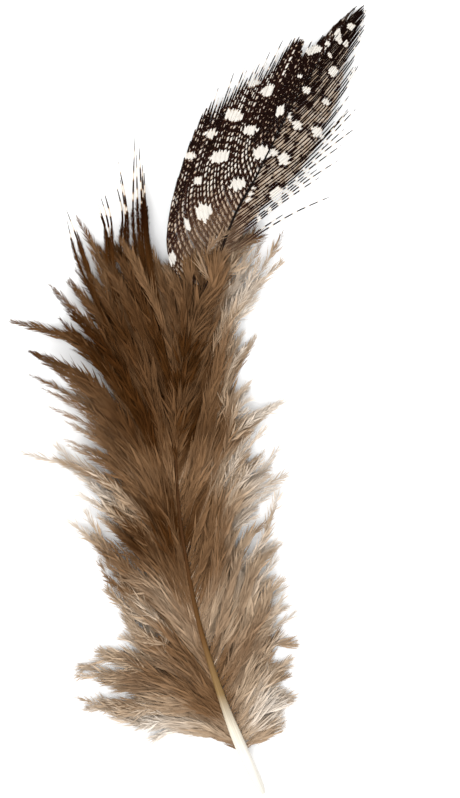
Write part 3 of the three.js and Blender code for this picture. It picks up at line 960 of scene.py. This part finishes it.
def makeWeb(material):
    makeVane("leftWeb", "left_web", material, leftWeb)
    makeVane("rightWeb", "right_web", material, rightWeb)


# Spray: stiff barbs that come out of the left down, black and white by turns and fluffy at their roots.

def sprayHeight(vane, level, u, rng):
    # A straight fall from the shaft's height to the tip's height, less half a sine wave of sag.
    root = shaftAt(level[:, 0, 1])[:, 2] - vane["rootDrop"]
    lowTip, moreTip = vane["tipRange"]
    leastSag, moreSag = vane["sagRange"]
    tip = lowTip + moreTip * rng.random(len(level))
    sag = leastSag + moreSag * rng.random((len(level), 1))
    return root[:, None] * (1 - u) + tip[:, None] * u - sag * np.sin(np.pi * u)


def firstBand(vane, x, barb):
    # The y of a barb's first white band: further on in the dense bundle on the right than on the separate
    # barbs on the left. Seven is added to the barb's number so that this differs from its bands' rag.
    bundle = easeIn((x - vane["bundleFrom"]) / vane["bundleEase"])
    return vane["firstBand"] + vane["bundleDelay"] * bundle + vane["firstBandRag"] * barbRag(barb + 7)


def sprayTone(vane, x, y, u, barb):
    # White where the band's fraction is under the gap's share, brown low down and black further out.
    wave = (y - vane["bandPlace"]) / vane["bandPeriod"] + vane["bandRag"] * barbRag(barb)
    gap = (np.mod(wave, 1) < vane["bandGap"]) & (y > firstBand(vane, x, barb)) & (u > vane["bandsFrom"])
    dark = vane["brown"] - vane["darkening"] * easeIn((y - vane["brownUpTo"]) / vane["brownEase"])
    return np.where(gap, 1.0, dark)


def sprayBarbTone(vane, barbs):
    x, y = levelPlace(barbs["points"])
    return sprayTone(vane, x, y, barbs["u"][None], np.arange(len(x))[:, None])


def sprayBarbuleTone(vane, barbules, rng):
    x, y = levelPlace(barbules["base"])
    tone = sprayTone(vane, x, y, barbules["u"], barbules["barb"])
    return np.stack([tone, tone], axis=1)


def sprayReach(vane, barbs, barbules):
    # Long up to the first white band, then stubs.
    x, y = levelPlace(barbules["base"])
    below = firstBand(vane, x, barbules["barb"]) - y
    closed = easeIn((below + vane["stubDelay"]) / vane["stubEase"])
    return vane["stub"] + vane["barbuleLength"] * closed


leftSpray = webShared | {
    "seed": 57,
    "guides": [
        (-11.2, (-12.8, 8.8), (-16.3, 20.0), (-18.1, 25.6), (-20.5, 31.0)),
        (-11.0, (-13.1, 8.8), (-15.8, 16.0), (-17.3, 22.1), (-19.4, 30.1)),
        (-8.8, (-10.7, 10.4), (-13.8, 20.8), (-14.6, 26.9), (-16.5, 30.7)),
        (-8.0, (-9.9, 10.4), (-12.6, 21.1), (-13.6, 28.0), (-15.0, 33.4)),
        (-6.4, (-8.6, 11.2), (-11.8, 22.1), (-12.0, 29.6), (-13.1, 34.6)),
        (-5.4, (-7.9, 11.2), (-10.2, 22.1), (-10.6, 30.1), (-12.5, 38.7)),
        (-4.0, (-6.8, 11.2), (-8.6, 22.1), (-9.3, 30.4), (-9.4, 44.5)),
        (-3.2, (-6.1, 12.8), (-7.6, 24.0), (-8.2, 32.0), (-8.5, 40.6)),
        (-2.4, (-5.8, 13.6), (-7.2, 24.0), (-7.8, 31.0), (-7.8, 38.8)),
        (0.0, (-5.4, 16.0), (-6.8, 23.0), (-7.2, 28.0), (-7.2, 31.4)),
        (0.8, (-5.0, 15.2), (-6.2, 21.6), (-6.6, 24.6), (-6.7, 26.8)),
    ],
    "barbs": 18,
    "steps": 90,
    "shortest": 0.9,
    "reachBias": 1.0,
    "shortReach": 0.6,
    "tufts": [0.5, 3.0, 5.0, 6.4, 8.0],
    "tuftPull": 0.5,
    "scatter": 0.2,
    "sway": 0.15,
    "height": sprayHeight,
    "rootDrop": 0.2,
    "tipRange": (1.2, 1.6),
    "sagRange": (1.0, 1.8),
    "barbTone": sprayBarbTone,
    "barbuleTone": sprayBarbuleTone,
    "barbuleReach": sprayReach,
    "barbRadius": [(0, 0.08), (0.6, 0.15), (0.85, 0.19), (0.95, 0.1), (1, 0.04)],
    "barbules": 8000,
    "barbuleLength": 0.7,
    "stub": 0.14,
    "stubDelay": 0.5,
    "stubEase": 2.5,
    "crowding": [(0, 0.3), (0.4, 1), (1, 1)],
    "barbuleSpread": 0.3,
    "lean": [(0, 28), (1, 28)],
    "leanSpread": 6,
    "tiltSpread": 40,
    "bandPeriod": 3.4,
    "bandGap": 0.45,
    "bandPlace": 32.9,  # a y at which a band starts
    "bandRag": 0.3,
    "bandsFrom": 0.6,
    "firstBand": 26.5,
    "firstBandRag": 1.2,
    "bundleFrom": -12.5,
    "bundleEase": 4,
    "bundleDelay": 5.5,
    "brown": 0.26,
    "darkening": 0.24,
    "brownUpTo": 21,
    "brownEase": 9,
}


def makeSpray(material):
    makeVane("leftSpray", "left_spray", material, leftSpray)


# Finishes: colour stops are (place from 0 to 1, red, green, blue on a screen)

finishes = {
    "horn": {
        "roughness": 0.4,
        "shine": 0.06,
        "span": (-63.4, 63.4),  # y of the first and the last place
        "streakScale": (14, 26, 1),
        "streakNoise": (0.3, 0.7),
        "streakTint": (1.1, 0.72),  # what multiplies the colour where the noise is high and where it is low
        "bump": 0.25,
        "bumpDepth": 0.05,
        "stops": [
            (0.0, 206, 202, 192), (0.05, 220, 216, 207), (0.085, 208, 200, 182), (0.13, 132, 106, 68),
            (0.2, 94, 64, 32), (0.3, 68, 41, 17), (0.5, 64, 39, 18), (0.66, 34, 20, 12), (0.74, 12, 6, 4),
        ],
    },
    "down": {
        "roughness": 0.9,
        "shine": 0.04,
        "grainScale": 400,
        "grainAmount": 0.08,
        "stops": [
            (0.0, 34, 10, 0), (0.25, 68, 40, 14), (0.5, 122, 92, 64), (0.75, 178, 155, 130),
            (1.0, 222, 210, 196),
        ],
    },
    "web": {
        "roughness": 0.6,
        "shine": 0.04,
        "grainScale": 1500,
        "grainAmount": 0.06,
        "stops": [
            (0.0, 12, 2, 0), (0.2, 46, 24, 16), (0.45, 102, 80, 62), (0.75, 170, 148, 126),
            (1.0, 216, 211, 203),
        ],
    },
    "tableWhite": {"roughness": 0.8, "shine": 0.5, "colour": (0.92, 0.92, 0.92, 1)},
}


def newMaterial(name, finish):
    material = bpy.data.materials.new(name)
    material.use_nodes = True
    shader = material.node_tree.nodes["Principled BSDF"]
    shader.inputs["Roughness"].default_value = finish["roughness"]
    shader.inputs["Specular IOR Level"].default_value = finish["shine"]
    return material, material.node_tree.nodes, material.node_tree.links, shader


def newNode(nodes, kind, values=()):
    # A shader node with a value set on each of the sockets named.
    node = nodes.new(f"ShaderNode{kind}")
    for socket, value in dict(values).items():
        node.inputs[socket].default_value = value
    return node


def newRamp(nodes, stops):
    # A ramp with one element for each colour stop.
    ramp = newNode(nodes, "ValToRGB")
    elements = ramp.color_ramp.elements
    while len(elements) < len(stops):
        elements.new(0.5)
    for element, (place, *colour) in zip(elements, stops):
        element.position = place
        element.color = linearColour(*colour)
    return ramp


def toneMaterial(name):
    # The tone that each vertex carries, plus a fine noise, picks the colour from a ramp.
    finish = finishes[name]
    material, nodes, links, shader = newMaterial(name, finish)
    toneIn = newNode(nodes, "Attribute")
    toneIn.attribute_name = "tone"
    place = newNode(nodes, "TexCoord")
    grain = newNode(nodes, "TexNoise", {"Scale": finish["grainScale"], "Detail": 3})
    amount = newNode(nodes, "Math", {1: finish["grainAmount"], 2: -finish["grainAmount"] / 2})
    amount.operation = "MULTIPLY_ADD"
    total = newNode(nodes, "Math")
    total.operation = "ADD"
    ramp = newRamp(nodes, finish["stops"])
    links.new(place.outputs["Object"], grain.inputs["Vector"])
    links.new(grain.outputs["Fac"], amount.inputs[0])
    links.new(amount.outputs[0], total.inputs[0])
    links.new(toneIn.outputs["Fac"], total.inputs[1])
    links.new(total.outputs[0], ramp.inputs["Fac"])
    links.new(ramp.outputs["Color"], shader.inputs["Base Color"])
    return material


def hornMaterial():
    # Pale horn at the quill, browner up the shaft and near black at the tip, with fine lengthwise streaks.
    finish = finishes["horn"]
    material, nodes, links, shader = newMaterial("horn", finish)
    first, last = finish["span"]
    palest, darkest = finish["streakTint"]
    lowNoise, highNoise = finish["streakNoise"]
    place = newNode(nodes, "TexCoord")
    split = newNode(nodes, "SeparateXYZ")
    share = newNode(nodes, "MapRange", {"From Min": first * millimetre, "From Max": last * millimetre})
    ramp = newRamp(nodes, finish["stops"])
    stretch = newNode(nodes, "Mapping", {"Scale": finish["streakScale"]})
    streaks = newNode(nodes, "TexNoise", {"Scale": 1, "Detail": 4})
    shade = newNode(nodes, "MapRange", {
        "From Min": lowNoise, "From Max": highNoise, "To Min": darkest, "To Max": palest,
    })
    tinted = newNode(nodes, "Mix")
    tinted.data_type = "RGBA"
    tinted.blend_type = "MULTIPLY"
    tinted.inputs["Factor"].default_value = 1
    bump = newNode(nodes, "Bump", {"Strength": finish["bump"], "Distance": finish["bumpDepth"] * millimetre})
    links.new(place.outputs["Object"], split.inputs[0])
    links.new(split.outputs["Y"], share.inputs["Value"])
    links.new(share.outputs["Result"], ramp.inputs["Fac"])
    links.new(place.outputs["UV"], stretch.inputs["Vector"])
    links.new(stretch.outputs[0], streaks.inputs["Vector"])
    links.new(streaks.outputs["Fac"], shade.inputs["Value"])
    links.new(ramp.outputs["Color"], tinted.inputs["A"])
    links.new(shade.outputs["Result"], tinted.inputs["B"])
    links.new(tinted.outputs["Result"], shader.inputs["Base Color"])
    links.new(streaks.outputs["Fac"], bump.inputs["Height"])
    links.new(bump.outputs["Normal"], shader.inputs["Normal"])
    return material


# Table, light and camera

studio = {
    "floorSize": 3.0,  # metres
    "skyStrength": 1.5,
    "sunStrength": 1.3,
    "sunAngle": 40,  # degrees across, for soft shadows
    "sunTurn": (38, -22, 0),
    "lens": 200,
    "sensor": 36,
    "farthest": 20,  # metres
    "frameHeight": 127.68,
    "aim": (6.08, 0.16, 2.0),
}


def makeStudio():
    # The camera looks straight down, from so far above its aim that the picture's longer side spans
    # frameHeight there.
    scene = bpy.context.scene
    scene.view_settings.view_transform = "Standard"
    world = bpy.data.worlds.new("sky")
    world.use_nodes = True
    sky = world.node_tree.nodes["Background"]
    sky.inputs["Color"].default_value = (1, 1, 1, 1)
    sky.inputs["Strength"].default_value = studio["skyStrength"]
    scene.world = world

    half = studio["floorSize"] / 2
    corners = [(-half, -half, 0), (half, -half, 0), (half, half, 0), (-half, half, 0)]
    mesh = bpy.data.meshes.new("table")
    mesh.from_pydata(corners, [], [(0, 1, 2, 3)])
    floor = bpy.data.objects.new("table", mesh)
    paper, _, _, shader = newMaterial("tableWhite", finishes["tableWhite"])
    shader.inputs["Base Color"].default_value = finishes["tableWhite"]["colour"]
    mesh.materials.append(paper)
    scene.collection.objects.link(floor)

    lamp = bpy.data.lights.new("window", "SUN")
    lamp.energy = studio["sunStrength"]
    lamp.angle = np.radians(studio["sunAngle"])
    window = bpy.data.objects.new("window", lamp)
    window.rotation_euler = np.radians(studio["sunTurn"])
    scene.collection.objects.link(window)

    camera = bpy.data.cameras.new("camera")
    camera.lens = studio["lens"]
    camera.sensor_width = studio["sensor"]
    camera.clip_end = studio["farthest"]
    aimX, aimY, aimZ = studio["aim"]
    distance = studio["frameHeight"] * studio["lens"] / studio["sensor"]
    seer = bpy.data.objects.new("camera", camera)
    seer.location = (aimX * millimetre, aimY * millimetre, (aimZ + distance) * millimetre)
    scene.collection.objects.link(seer)
    scene.camera = seer
    print("studio ready")


horn = hornMaterial()
down = toneMaterial("down")
web = toneMaterial("web")
print("finishes ready")

makeShaft(horn)
makeDown(down)
makeWeb(web)
makeSpray(down)
makeStudio()
